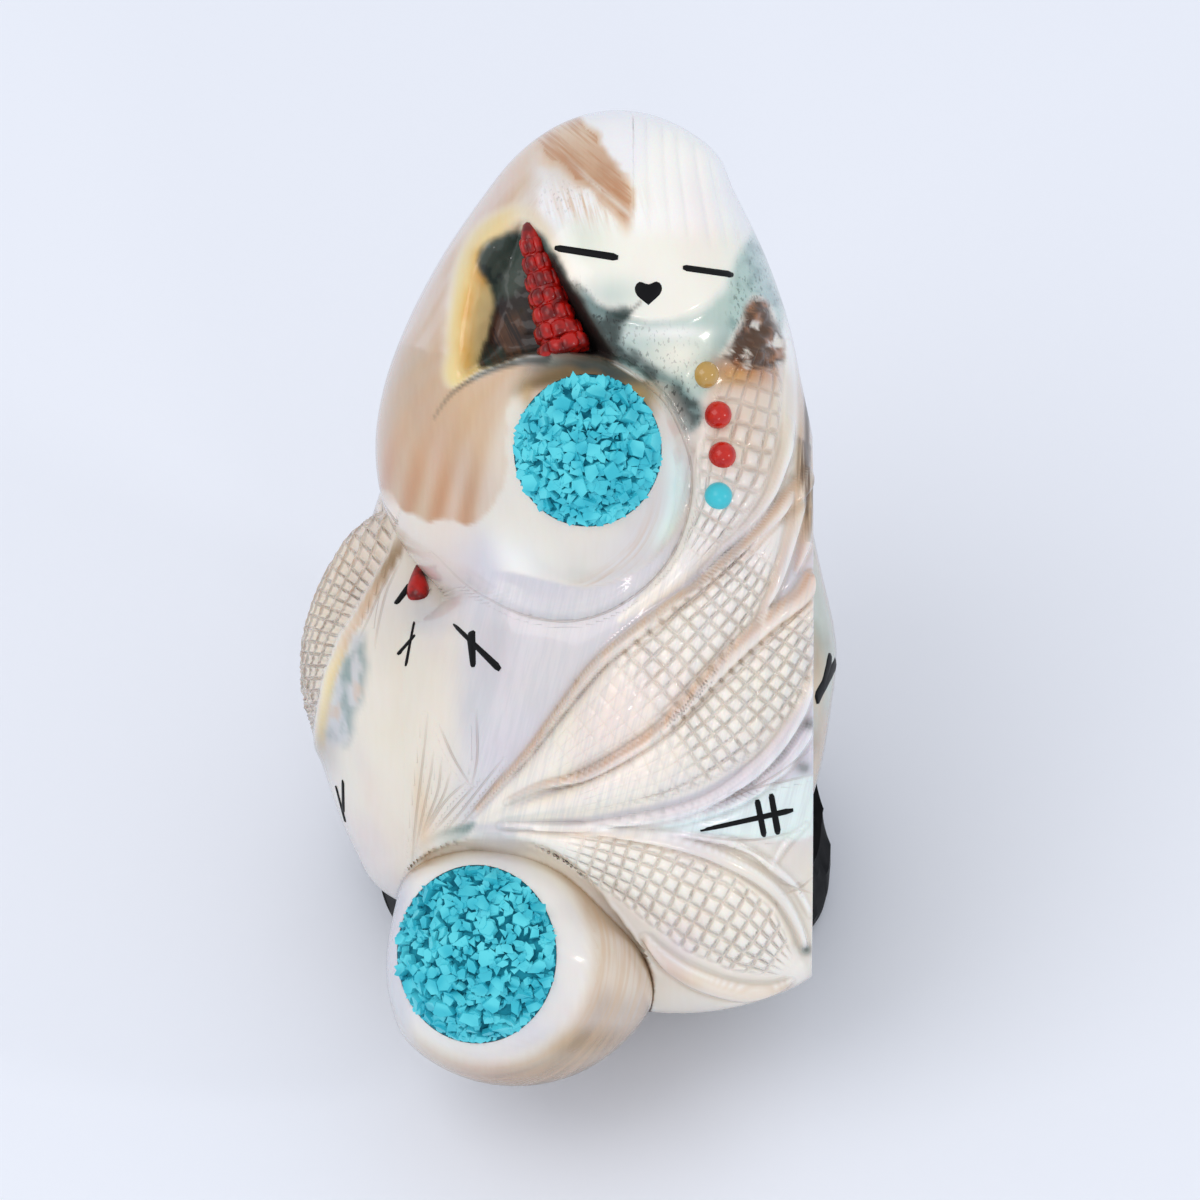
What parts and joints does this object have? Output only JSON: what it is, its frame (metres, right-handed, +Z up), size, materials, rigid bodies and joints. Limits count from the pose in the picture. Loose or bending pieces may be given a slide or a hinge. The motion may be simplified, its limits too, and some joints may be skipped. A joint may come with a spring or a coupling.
{
  "type": "corn maiden fetish",
  "caption": "Carved turban shell figure with ears of corn, a round face, inlaid coral and crushed turquoise, standing on a small black stone.",
  "frame": {"origin": "the middle of the black stone's flat underside", "axes": "+Z up, the figure's front towards -Y, +X to the right of someone who looks at its front"},
  "size_m": [0.0658, 0.0912, 0.1087],
  "materials": {
    "shell": "polished nacre with tan and cream outer layers",
    "black_stone": "polished",
    "dark_coral": "satin",
    "coral": "polished",
    "turquoise": "crushed, satin",
    "amber": "polished"
  },
  "bodies": {
    "root": {"shell_carving": "shell", "black_stone_base": "black_stone", "coral_corn_ear": "dark_coral", "coral_teardrop": "coral", "turquoise_chips_upper": "turquoise", "turquoise_chips_lower": "turquoise", "amber_bead": "amber", "coral_bead_upper": "coral", "coral_bead_lower": "coral", "turquoise_bead": "turquoise"}
  },
  "joints": []
}
